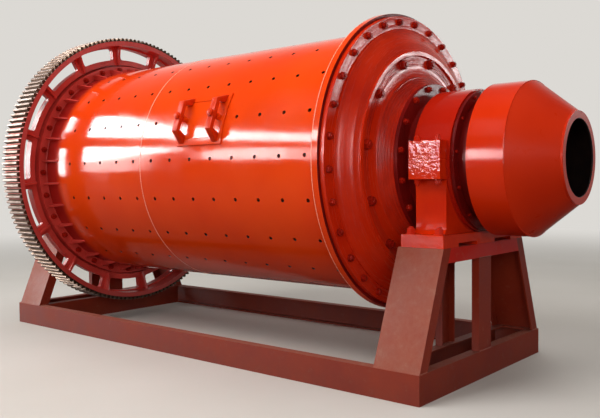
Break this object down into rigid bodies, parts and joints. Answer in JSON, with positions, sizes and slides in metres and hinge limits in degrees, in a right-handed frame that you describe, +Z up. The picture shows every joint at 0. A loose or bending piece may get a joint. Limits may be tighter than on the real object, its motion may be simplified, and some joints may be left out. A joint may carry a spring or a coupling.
{
  "type": "ball mill",
  "caption": "Horizontal ball mill: drilled drum with girth gear and bolted heads, turning on two trunnion bearings over a steel base, with a conical drum feeder.",
  "frame": {"origin": "on the floor below the middle of the overall length, under the mill axis", "axes": "+X along the mill axis towards the feed end, +Z up, +Y to the rear side"},
  "size_m": [5.069, 2.55, 2.724],
  "materials": {
    "enamel": "gloss",
    "dark_enamel": "gloss",
    "primer": "matte",
    "gear_steel": "machined",
    "bush_metal": "machined"
  },
  "bodies": {
    "stand": {"base_front_beam": "primer", "base_rear_beam": "primer", "base_feed_end_beam": "primer", "base_feed_cross_beam": "primer", "base_discharge_cross_beam": "primer", "base_discharge_end_beam": "primer", "feed_front_leg": "primer", "feed_rear_leg": "primer", "feed_outer_post": "primer", "feed_inner_post": "primer", "feed_top_frame": "primer", "discharge_front_leg": "primer", "discharge_rear_leg": "primer", "discharge_outer_post": "primer", "discharge_inner_post": "primer", "discharge_top_frame": "primer", "feed_bearing_pedestal": "enamel", "feed_bearing_cap": "enamel", "feed_bearing_bush": "bush_metal", "feed_seal_ring": "dark_enamel", "discharge_bearing_pedestal": "enamel", "discharge_bearing_cap": "enamel", "discharge_bearing_bush": "bush_metal", "discharge_seal_ring": "dark_enamel"},
    "drum": {"shell_feed_course": "enamel", "shell_discharge_course": "enamel", "feed_shell_flange": "enamel", "discharge_shell_flange": "enamel", "feed_head": "enamel", "discharge_head": "enamel", "feed_trunnion": "enamel", "discharge_trunnion": "enamel", "girth_gear_rim": "gear_steel", "girth_gear_web": "dark_enamel", "manhole_pad": "enamel", "manhole_cover": "enamel", "manhole_bow_left": "dark_enamel", "manhole_bow_right": "dark_enamel", "manhole_studs": "dark_enamel", "feeder_back_plate": "enamel", "feeder_barrel": "enamel", "feeder_cone": "enamel", "feeder_mouth_ring": "enamel", "discharge_lip": "enamel"}
  },
  "joints": [
    {"name": "drum_rotation", "type": "hinge", "parent": "stand", "child": "drum", "pos_m": [0, 0, 1.449], "axis": [1, 0, 0], "continuous": true}
  ]
}
